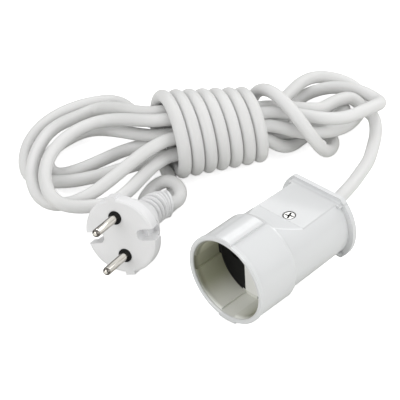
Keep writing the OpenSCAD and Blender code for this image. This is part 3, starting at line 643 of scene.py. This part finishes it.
@dataclass
class CordRoute:
    """The cord's whole centreline, from the socket to the plug."""

    diameter: float = 6.2
    hank_at: tuple[float, float] = (-73.0, 66.7)
    hank_turn: float = 60.3
    hank_z: float = 18.9
    hank_fall: float = 0.07
    fall_limits: tuple[float, float] = (-50.0, 4.0)
    waist: tuple[float, float] = (-44.0, 2.0)
    join_u: float = -5.0
    spread: float = 0.5
    spread_run: float = 46.0
    strand_pitch: float = 6.75
    ring_strands: int = 7
    first_strand: float = 50.6
    turns: int = 7
    turn_pitch: float = 6.72
    wind_r0: float = 15.6
    wind_r1: float = 19.0
    wind_side: float = 1.08
    loose_more: float = 0.32
    loose_run: float = 38.0
    loose_to: float = -0.84
    loose_power: float = 2.2
    least_gap: float = 0.8
    half_socket: float = 32.6
    axis_z: float = 23.3 * math.cos(math.radians(4)) + 4.9 * math.sin(math.radians(4))
    loops: tuple[Oval, ...] = (
        Oval(-1, 0, 2, (-85.5, 13), 20.5, 44.5, 40, -37, 51, 102, (7, 13.5, 8)),
        Oval(1, 6, 2, (50.5, 29), 17.5, 10.5, 48, -33.5, 99, 79, (9.5, 3.2, 16.5), True),
        Oval(-1, 6, 4, (-68.5, 10), 46, 48, 14.5, -4.5, 91, 42, (5.5, 5.5, 5)),
        Oval(1, 5, 4, (27, 5.5), 28, 8, 9, 26.5, 101, 62, (3.2, 5.5, 10.5), True),
        Oval(-1, -1, 5, (-74, 21), 29.5, 16, 11, 20, 85, 92, (5, 3.2, 7), True),
        Oval(1, -1, 1, (48.5, 1), 20, 35, 11, 22.5, 106, 100, (3.2, 15, 22.5)),
        Oval(-1, 1, 3, (-67.5, -17.5), 42.5, 43, 13, 3.5, 80, 72, (18, 16.5, 11.5)))

    def world(self, u: float, n: float, z: float) -> Vector:
        """Takes a point from the hank's frame to the row's.

        Args:
            u: how far along the hank.
            n: how far across it.
            z: its height.
        Returns:
            The point, in the row's millimetres.
        """
        c = math.cos(math.radians(self.hank_turn))
        s = math.sin(math.radians(self.hank_turn))
        return Vector((self.hank_at[0] + u * c - n * s, self.hank_at[1] + u * s + n * c, z))

    def middle_z(self, u: float) -> float:
        """Height of the waist's middle strand."""
        return self.hank_z - self.hank_fall * clip(u, *self.fall_limits)

    def strand(self, k: int, u: float) -> Vector:
        """Where a strand passes in the waist.

        Args:
            k: the strand's place in the ring, or -1 for the middle one.
            u: how far along the hank.
        Returns:
            The point, as (u, n, z).
        """
        if k < 0:
            return Vector((u, 0, self.middle_z(u)))
        ring = self.strand_pitch / (2 * math.sin(math.pi / self.ring_strands))
        grow = ring * (1 + self.spread * clip(-u / self.spread_run, 0, 1))
        a = math.radians(self.first_strand + k * 360 / self.ring_strands)
        return Vector((u, grow * math.cos(a), self.middle_z(u) + grow * math.sin(a)))

    def loop(self, oval: Oval, lead: int = 10, arc: int = 14) -> list[Vector]:
        """One loop from its first strand to its last, in (u, n, z).

        Args:
            oval: the oval that it follows.
            lead: points on the way to the oval and back.
            arc: points on each half of the oval.
        Returns:
            The loop's points, in the order in which the cord runs.
        """
        ue = self.waist[0] if oval.side < 0 else self.waist[1]
        a, b = self.strand(oval.start, ue), self.strand(oval.end, ue)
        p0, p3 = Vector(a[:2]), Vector(b[:2])
        p1, p2 = oval.at(oval.far_join), oval.at(-oval.near_join)
        l1, l2 = (p1 - p0).length, (p3 - p2).length
        h = oval.heights
        out: list[Vector] = []

        def put(q: Vector, low: float, high: float, s: float) -> None:
            """Adds one point at a height between two others."""
            out.append(Vector((q[0], q[1], low + (high - low) * step3(s))))

        for i in range(lead):
            s = i / lead
            leave, arrive = Vector((oval.side * l1, 0)), oval.way(oval.far_join) * l1
            put(hermite(p0, leave, p1, arrive, s), a[2], h[0], s)
        for i in range(arc):
            put(oval.at(oval.far_join * (1 - i / arc)), h[0], h[1], i / arc)
        for i in range(arc):
            put(oval.at(-oval.near_join * i / arc), h[1], h[2], i / arc)
        for i in range(lead + 1):
            s = i / lead
            leave, arrive = oval.way(-oval.near_join) * l2, Vector((-oval.side * l2, 0))
            put(hermite(p2, leave, p3, arrive, s), h[2], b[2], s)
        return out[::-1] if oval.backwards else out

    def wound(self, t: float) -> Vector:
        """A point of the winding.

        Args:
            t: turns from the first close turn, below 0 on the loose one.
        Returns:
            The point, as (u, n, z).
        """
        a = 2 * math.pi * t
        r = self.wind_r0 + (self.wind_r1 - self.wind_r0) * max(t, 0) / self.turns
        loose = max(-t, 0.0)
        u = -self.turn_pitch * t + self.loose_run * loose ** self.loose_power
        k = self.wind_side + self.loose_more * loose
        return Vector((u, -k * r * math.sin(a), self.hank_z - self.hank_fall * u
                       - r * math.cos(a)))

    def socket_tail(self) -> list[Vector]:
        """From inside the socket over the right loops into the waist.

        Returns:
            The points, in millimetres.
        """
        y, z = self.half_socket, self.axis_z
        bends = [(0, y - 12, z), (0, y - 4, z), (0, y + 6, z), (-3.8, 58, 23),
                 (-9.5, 72.3, 19.5), (-17, 88, 14.5), (-26, 102.5, 10), (-34, 114.5, 8),
                 (-41.5, 122, 9.5), (-47.5, 123, 10.5), (-54, 122.8, 13), (-56.5, 119, 16),
                 (-57.5, 109, 18.5), (-57, 101, 19.7), (-57, 93, 22.5)]
        return ([Vector(p) for p in bends]
                + [self.world(*self.strand(0, u)) for u in (8, 2, -1)])

    def hank(self) -> list[Vector]:
        """The seven loops and the strands between them.

        Returns:
            The points, in millimetres.
        """
        out = [self.world(*self.strand(0, self.join_u))]
        for oval in self.loops:
            out += [self.world(*p) for p in self.loop(oval)]
        return out + [self.world(*self.strand(3, self.join_u))]

    def winding(self, loose_points: int = 20, per_turn: int = 24) -> list[Vector]:
        """The loop under the hank, the loose turn and the close turns.

        Args:
            loose_points: points on the loose turn.
            per_turn: points on each close turn.
        Returns:
            The points, in millimetres.
        """
        under = [(2, -7.1, 15.4), (5, -7.7, 13.5), (8, -8.3, 11), (11.5, -8, 8.6),
                 (15.5, -6.3, 6.3), (20, -3, 4.4), (25, 1, 3.5), (30, 4.4, 3.2),
                 (35, 5, 3.2), (38.8, 2, 3.2), (40.4, -3, 3.2), (39, -8, 3.3),
                 (36, -12.6, 4.6)]
        loose = [self.wound(self.loose_to * (1 - i / loose_points))
                 for i in range(loose_points)]
        close = [self.wound(i / per_turn) for i in range(self.turns * per_turn + 1)]
        return [self.world(*p) for p in [self.strand(3, -1), *under, *loose, *close]]

    def plug_tail(self, plug: "PlugFrame") -> list[Vector]:
        """From the winding, once round beside the plug, and into it.

        Args:
            plug: where the plug lies.
        Returns:
            The points, in millimetres.
        """
        floor = [(-86.5, 20.5, 3.2), (-82, 17, 3.2), (-77, 13.5, 3.2), (-73, 9, 3.2),
                 (-71.5, 3.5, 3.2), (-73.5, -1.5, 3.2), (-78.5, -3.5, 3.2),
                 (-83.5, -1.5, 3.2), (-85.5, 3, 3.6), (-86, 8.5, 5.6), (-82.5, 12.5, 8.8),
                 (-77, 13.2, 10.4), (-71, 11, 11), (-66.5, 7, 11.4)]
        end = self.wound(self.turns) + Vector((0, -self.diameter, 0))
        inside = [plug.in_bend(a * plug.relief_turn) for a in (1, 0.75, 0.5, 0.25, 0)]
        return ([self.world(*end)] + [Vector(p) for p in floor]
                + [plug.in_bend(plug.relief_turn) + plug.relief_out() * plug.lead]
                + inside + [plug.point(0, 0, plug.relief_z + plug.lead)])

    def whole(self, plug: "PlugFrame") -> list[Vector]:
        """The whole centreline.

        Args:
            plug: where the plug lies.
        Returns:
            The points, in metres.
        """
        points = [*self.socket_tail(), *self.hank(), *self.winding(), *self.plug_tail(plug)]
        kept = [points[0]]
        for p in points[1:]:
            if (p - kept[-1]).length > self.least_gap:
                kept.append(p)
        return [p * MM for p in kept]


@dataclass
class PlugFrame:
    """Where the plug lies, in millimetres: x to the upper pin, z along the pins."""

    yaw: float = 287.0
    pitch: float = 12.2
    roll: float = -21.7
    disc_r: float = 18.5
    disc_t: float = 5.5
    lug_out: float = 1.0
    lug_w: float = 4.8
    body_len: float = 24.0
    relief_straight: float = 8.0
    relief_bend: float = 14.0
    relief_turn: float = 40.0
    lead: float = 5.0
    face: tuple[float, float] = (-58.8, -40.6)
    bends_to: tuple[float, float] = (-0.37, -0.93)

    def __post_init__(self) -> None:
        """Works out the three axes and the face's centre."""
        y, p, r = (math.radians(v) for v in (self.yaw, self.pitch, self.roll))
        self.out = Vector((math.cos(p) * math.cos(y), math.cos(p) * math.sin(y), math.sin(p)))
        level = Vector((-math.sin(y), math.cos(y), 0))
        self.up = math.cos(r) * self.out.cross(level) + math.sin(r) * level
        self.side = self.out.cross(self.up)
        z = ((self.disc_r + self.lug_out) * self.up[2] + self.lug_w / 2 * abs(self.side[2])
             + self.disc_t * self.out[2])
        self.at = Vector((*self.face, z))
        self.relief_z = -self.body_len - self.relief_straight
        self.bend_way = Vector(self.bends_to).normalized()

    def point(self, x: float, y: float, z: float) -> Vector:
        """A point of the plug's own frame, in the row's millimetres."""
        return self.at + self.up * x + self.side * y + self.out * z

    def in_bend(self, angle: float) -> Vector:
        """The strain relief's middle, part of the way round its bend.

        Args:
            angle: how much of the bend, in degrees.
        Returns:
            The point, in the row's millimetres.
        """
        a = math.radians(angle)
        off = self.relief_bend * (1 - math.cos(a))
        return self.point(self.bend_way[0] * off, self.bend_way[1] * off,
                          self.relief_z - self.relief_bend * math.sin(a))

    def relief_out(self) -> Vector:
        """The way that the cord leaves the strain relief."""
        a = math.radians(self.relief_turn)
        across = self.up * self.bend_way[0] + self.side * self.bend_way[1]
        return across * math.sin(a) - self.out * math.cos(a)


# --------------------------------------------------------------------- meshes
def make_object(name: str, verts: Sequence[Sequence[float]], faces: Sequence[Sequence[int]],
                material: bpy.types.Material) -> bpy.types.Object:
    """Makes a smooth mesh object in the scene.

    Args:
        name: the piece's name.
        verts: its corners, in metres.
        faces: its faces.
        material: its finish.
    Returns:
        The new object.
    """
    mesh = bpy.data.meshes.new(name)
    mesh.from_pydata([tuple(v) for v in verts], [], [tuple(f) for f in faces])
    mesh.materials.append(material)
    for polygon in mesh.polygons:
        polygon.use_smooth = True
    mesh.update()
    piece = bpy.data.objects.new(name, mesh)
    bpy.context.scene.collection.objects.link(piece)
    return piece


def catmull(points: Sequence[Vector], step: float) -> list[Vector]:
    """A smooth line through the points, sampled at even steps.

    Args:
        points: the line's points, in metres.
        step: distance between samples.
    Returns:
        The samples.
    """
    fine: list[Vector] = []
    last = len(points) - 1
    for i in range(last):
        a = points[i - 1] if i else points[0] * 2 - points[1]
        b, c = points[i], points[i + 1]
        d = points[i + 2] if i + 2 <= last else points[last] * 2 - points[last - 1]
        count = max(2, int((c - b).length / (0.4 * step)))
        for k in range(count):
            t = k / count
            fine.append(0.5 * (2 * b + (c - a) * t + (2 * a - 5 * b + 4 * c - d) * t * t
                               + (3 * b - a - 3 * c + d) * t ** 3))
    fine.append(points[last].copy())
    out, gone, due = [fine[0]], 0.0, step
    for p, q in zip(fine, fine[1:]):
        length = (q - p).length
        while gone + length >= due:
            out.append(p.lerp(q, (due - gone) / length))
            due += step
        gone += length
    if (out[-1] - fine[-1]).length > 0.3 * step:
        out.append(fine[-1])
    return out


def relax(line: list[Vector], rounds: int) -> list[Vector]:
    """Takes small kinks out of a line and keeps its ends.

    Args:
        line: the line's samples.
        rounds: how many times each sample moves towards its neighbours.
    Returns:
        The smoother line.
    """
    for _ in range(rounds):
        line = [line[0]] + [line[i] * 0.5 + (line[i - 1] + line[i + 1]) * 0.25
                            for i in range(1, len(line) - 1)] + [line[-1]]
    return line


def bend(a: Vector, b: Vector, c: Vector) -> float:
    """Radius of the circle through three points, or 1 m on a straight line."""
    area = (b - a).cross(c - a).length / 2
    sides = (b - a).length * (c - b).length * (c - a).length
    return sides / (4 * area) if area > NO_AREA else STRAIGHT


def open_bends(line: list[Vector], least: float, rounds: int = 40) -> list[Vector]:
    """Eases only the bends that are tighter than a cord can take.

    Args:
        line: the line's samples, in metres.
        least: the smallest radius that is left alone.
        rounds: how many times at most.
    Returns:
        The eased line.
    """
    for _ in range(rounds):
        tight = {k for i in range(1, len(line) - 1) if bend(*line[i - 1:i + 2]) < least
                 for k in range(max(1, i - 2), min(len(line) - 1, i + 3))}
        if not tight:
            break
        line = [p if i not in tight else p * 0.5 + (line[i - 1] + line[i + 1]) * 0.25
                for i, p in enumerate(line)]
    return line


@dataclass
class CordTube:
    """The cord's jacket: one tube of round section along the route."""

    route: CordRoute
    plug: PlugFrame
    sides: int = 20
    step: float = 0.0016
    swell: float = 0.00018
    smoothing: int = 3
    least_bend: float = 0.0055
    above_floor: float = 0.00003

    def build(self, material: bpy.types.Material) -> bpy.types.Object:
        """Args:
            material: the jacket's finish.
        Returns:
            The jacket.
        """
        line = catmull(self.route.whole(self.plug), self.step)
        line = open_bends(relax(line, self.smoothing), self.least_bend)
        radius = self.route.diameter / 2 * MM + self.swell
        n = self.sides
        ways = [(line[min(i + 1, len(line) - 1)] - line[max(i - 1, 0)]).normalized()
                for i in range(len(line))]
        normal = ways[0].cross(Vector((0, 0, 1))).normalized()
        verts: list[Vector] = []
        along: list[float] = []
        around: list[tuple[float, float, float]] = []
        gone = 0.0
        for i, (p, way) in enumerate(zip(line, ways)):
            normal = (normal - way * normal.dot(way)).normalized()
            other = way.cross(normal)
            gone += (p - line[i - 1]).length if i else 0.0
            for k in range(n):
                a = 2 * math.pi * k / n
                point = p + radius * (normal * math.cos(a) + other * math.sin(a))
                point[2] = max(point[2], self.above_floor)
                verts.append(point)
                along.append(gone)
                around.append((math.cos(a), math.sin(a), 0.0))
        faces = [(i * n + k, (i + 1) * n + k, (i + 1) * n + (k + 1) % n, i * n + (k + 1) % n)
                 for i in range(len(line) - 1) for k in range(n)]
        faces.append(tuple(range(n)))
        faces.append(tuple(reversed(range((len(line) - 1) * n, len(line) * n))))
        piece = make_object("cord_jacket", verts, faces, material)
        mesh = piece.data
        mesh.attributes.new("along", "FLOAT", "POINT").data.foreach_set("value", along)
        mesh.attributes.new("around", "FLOAT_VECTOR", "POINT").data.foreach_set(
            "vector", [c for v in around for c in v])
        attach(piece, "root")
        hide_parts("cord_socket_tail", "cord_hank", "cord_winding", "cord_plug_tail")
        log.info("cord: %.3f m, %d rings", gone, len(line))
        return piece


# ---------------------------------------------------------------- rigid pieces
class Ease(Enum):
    """How far a rigid node's edges are rounded, in metres."""

    NONE = 0.0
    HARD = 0.00035
    SOFT = 0.0008


@dataclass
class Dresser:
    """Gives CAD nodes their finishes; the meshes stay the CAD's own."""

    crease: float = 18.0

    def dress(self, name: str, finish: bpy.types.Material, ease: Ease = Ease.NONE) -> None:
        """Gives one node its finish and eases its edges.

        Args:
            name: the CAD node.
            finish: its material.
            ease: how far its edges are rounded.
        """
        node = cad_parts[name]
        node.data.materials.clear()
        node.data.materials.append(finish)
        self.shade(node.data)
        if ease is not Ease.NONE:
            bevel = node.modifiers.new("ease", "BEVEL")
            bevel.width = ease.value
            bevel.segments = 2
            bevel.limit_method = "ANGLE"
            bevel.angle_limit = math.radians(self.crease)
            bevel.use_clamp_overlap = True
        even = node.modifiers.new("even", "WEIGHTED_NORMAL")
        even.weight = 100
        even.keep_sharp = ease is Ease.NONE
        log.info("%s: %s, edges %s", name, finish.name, ease.name.lower())

    def shade(self, mesh: bpy.types.Mesh) -> None:
        """Shades a node smooth, with its real edges sharp.

        Args:
            mesh: the node's mesh, whose corners stay as they are.
        """
        if "custom_normal" in mesh.attributes:
            mesh.attributes.remove(mesh.attributes["custom_normal"])
        for polygon in mesh.polygons:
            polygon.use_smooth = True
        mesh.set_sharp_from_angle(angle=math.radians(self.crease))


@dataclass
class Socket(Dresser):
    """The coupler socket: housing, cap, insulating block, contacts and screws."""

    half_len: float = 0.0326
    roll: float = 4.0
    height: float = 0.0233
    lean: float = 0.0049
    mouth_r: float = 0.0202
    recess: float = 0.0175
    ramp_from: float = 0.0235
    ramp_to: float = 0.0375
    ramp_h: float = 0.0197
    flat_h: float = 0.0145
    cross: float = 20.0

    @property
    def axis_z(self) -> float:
        """Height of the socket's axis above the floor."""
        turn = math.radians(self.roll)
        return self.height * math.cos(turn) + self.lean * math.sin(turn)

    def shell(self) -> bpy.types.Material:
        """Returns the housing's glossy finish."""
        return GlossyShell("socket_gloss", self).build()

    def screw(self) -> bpy.types.Material:
        """Builds the body screw's finish, centred on its CAD node.

        Returns:
            The material.
        """
        low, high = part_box("body_screw")
        middle = (low + high) / 2
        return ScrewSteel("body_screw_steel", (middle[0], middle[1]), self.cross).build()

    def build(self, steel: bpy.types.Material, black: bpy.types.Material) -> None:
        """Dresses every piece of the socket.

        Args:
            steel: the small screws' finish.
            black: the insulating block's finish.
        """
        shell = self.shell()
        self.dress("socket_shell", shell, Ease.HARD)
        self.dress("socket_end_cap", shell, Ease.HARD)
        self.dress("cord_clamp", shell)
        self.dress("contact_carrier", black)
        self.dress("body_screw", self.screw())
        brass = TurnedMetal("contact_brass", (0.80, 0.58, 0.25), 0.25).build()
        for name in ("contact_left", "contact_right"):
            self.dress(name, brass)
        for name in ("terminal_screw_left", "terminal_screw_right", "clamp_screw_left",
                     "clamp_screw_right", "body_nut"):
            self.dress(name, steel)


@dataclass
class Plug(Dresser):
    """The moulded plug: body, inner bridge, pins and crimps."""

    place: PlugFrame = field(default_factory=PlugFrame)

    def build(self, steel: bpy.types.Material, black: bpy.types.Material) -> None:
        """Dresses every piece of the plug.

        Args:
            steel: the crimps' finish.
            black: the inner bridge's finish.
        """
        skin = SoftMoulding("plug_pvc", (0.76, 0.76, 0.765)).build()
        self.dress("plug_body", skin, Ease.SOFT)
        self.dress("plug_bridge", black)
        pins = PinMetal("pin_nickel", self.place).build()
        for name in ("pin_upper", "pin_lower"):
            self.dress(name, pins)
        for name in ("crimp_upper", "crimp_lower"):
            self.dress(name, steel)


@dataclass
class Wires(Dresser):
    """The two insulated wires at each end of the cord."""

    def build(self) -> None:
        """Dresses the four wire nodes."""
        brown = SoftMoulding("wire_brown_pvc", (0.20, 0.09, 0.04)).build()
        blue = SoftMoulding("wire_blue_pvc", (0.05, 0.14, 0.42)).build()
        for end in ("socket", "plug"):
            self.dress(f"wire_brown_{end}", brown)
            self.dress(f"wire_blue_{end}", blue)


# ---------------------------------------------------------------------- studio
@dataclass(frozen=True)
class Lamp:
    """A square soft lamp: its place round the object, size, power and turn."""

    name: str
    azimuth: float
    elevation: float
    power: float
    size: float = 1.0
    turn: float = 0.0


@dataclass
class Studio:
    """Floor, soft lamps, world and camera."""

    aim: tuple[float, float, float] = (-0.050517, 0.003953, 0.020)
    azimuth: float = 44.0
    elevation: float = 39.4
    distance: float = 0.9
    # Half the frame over the focal length, both in pixels.
    half_view: float = math.atan(200 / 1903.5)
    sensor: float = 36.0
    horizon: float = 0.16
    zenith: float = 0.84
    full_rise: float = 0.7
    floor_half: float = 3.0
    floor_glow: float = 0.66
    lamp_away: float = 1.6
    lamps: tuple[Lamp, ...] = (
        Lamp("front_lamp", -4, 26, 8), Lamp("left_lamp", -80, 38, 2),
        Lamp("right_lamp", 100, 26, 9), Lamp("back_lamp", 226.2, 43.6, 2.36, 0.5, -20.3),
        Lamp("rear_lamp", 178, 26, 5))

    def back(self, azimuth: float, elevation: float) -> Vector:
        """The way from the object to a place round it, in degrees."""
        a, e = math.radians(azimuth), math.radians(elevation)
        return Vector((math.sin(a) * math.cos(e), -math.cos(a) * math.cos(e), math.sin(e)))

    def floor(self) -> None:
        """A pale floor that keeps a soft shadow and reads white elsewhere."""
        g = Graph("studio_floor")
        look = g.raw("ShaderNodeLightPath")
        seen = Val(g, look.outputs["Is Camera Ray"])
        speck = g.noise(g.place(), 40, 2)
        base = g.node("ShaderNodeBsdfDiffuse", None,
                      {"Color": g.mix(speck, (0.70, 0.70, 0.68, 1), (0.73, 0.73, 0.71, 1))})
        pale = g.node("ShaderNodeBsdfDiffuse", None, {"Color": (0.85, 0.85, 0.85, 1)})
        glow = g.node("ShaderNodeEmission", None,
                      {"Color": (1, 1, 1, 1), "Strength": self.floor_glow})
        both = g.node("ShaderNodeAddShader", None, {0: pale, 1: glow})
        g.raw("ShaderNodeOutputMaterial", None,
              {"Surface": g.node("ShaderNodeMixShader", None, {0: seen, 1: base, 2: both})})
        far = self.floor_half
        corners = [(-far, -far, 0), (far, -far, 0), (far, far, 0), (-far, far, 0)]
        piece = make_object("studio_floor_plane", corners, [(0, 1, 2, 3)], g.material)

    def light(self, lamp: Lamp) -> None:
        """Sets up one lamp, which faces the object.

        Args:
            lamp: its place, size, power and turn in its own plane.
        """
        data = bpy.data.lights.new(lamp.name, "AREA")
        data.shape = "SQUARE"
        data.size = lamp.size
        data.energy = lamp.power
        piece = bpy.data.objects.new(lamp.name, data)
        back = self.back(lamp.azimuth, lamp.elevation)
        piece.location = Vector(self.aim) + back * self.lamp_away
        piece.rotation_mode = "QUATERNION"
        piece.rotation_quaternion = (-back).to_track_quat("-Z", "Y") @ Quaternion(
            (0, 0, 1), math.radians(lamp.turn))
        bpy.context.scene.collection.objects.link(piece)

    def world(self) -> None:
        """A surround that is dim at the horizon and white overhead."""
        world = bpy.data.worlds.new("surround")
        world.use_nodes = True
        tree = world.node_tree
        place = tree.nodes.new("ShaderNodeTexCoord")
        parts = tree.nodes.new("ShaderNodeSeparateXYZ")
        rise = tree.nodes.new("ShaderNodeMapRange")
        tree.links.new(place.outputs["Generated"], parts.inputs[0])
        tree.links.new(parts.outputs["Z"], rise.inputs["Value"])
        rise.inputs["From Min"].default_value = 0.0
        rise.inputs["From Max"].default_value = self.full_rise
        rise.inputs["To Min"].default_value = self.horizon
        rise.inputs["To Max"].default_value = self.zenith
        back = tree.nodes["Background"]
        back.inputs["Color"].default_value = (1, 1, 1, 1)
        tree.links.new(rise.outputs["Result"], back.inputs["Strength"])
        bpy.context.scene.world = world

    def camera(self) -> None:
        """The camera, with a narrow view from 0.9 m away."""
        data = bpy.data.cameras.new("camera")
        data.sensor_width = self.sensor
        data.lens = self.sensor / 2 / math.tan(self.half_view)
        data.clip_start = 0.05
        data.clip_end = 20
        camera = bpy.data.objects.new("camera", data)
        back = self.back(self.azimuth, self.elevation)
        camera.location = Vector(self.aim) + back * self.distance
        camera.rotation_mode = "QUATERNION"
        camera.rotation_quaternion = (-back).to_track_quat("-Z", "Y")
        bpy.context.scene.collection.objects.link(camera)
        bpy.context.scene.camera = camera

    def build(self) -> None:
        """Sets up the whole studio."""
        self.camera()
        self.world()
        self.floor()
        for lamp in self.lamps:
            self.light(lamp)
        bpy.context.scene.view_settings.view_transform = "Standard"


# ------------------------------------------------------------------------ main
def main() -> None:
    """Builds the studio, the cord and the finishes, and logs the cord's length."""
    logging.basicConfig(level=logging.INFO, format="%(message)s")
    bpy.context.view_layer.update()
    Studio().build()
    socket, plug = Socket(), Plug()
    jacket = JacketSkin("cord_pvc", (0.725, 0.725, 0.72), (0.67, 0.67, 0.66)).build()
    CordTube(CordRoute(), plug.place).build(jacket)
    steel = TurnedMetal("screw_steel", (0.52, 0.52, 0.52), 0.3).build()
    black = DarkMoulding("black_insulator").build()
    socket.build(steel, black)
    plug.build(steel, black)
    Wires().build()


if __name__ == "__main__":
    main()
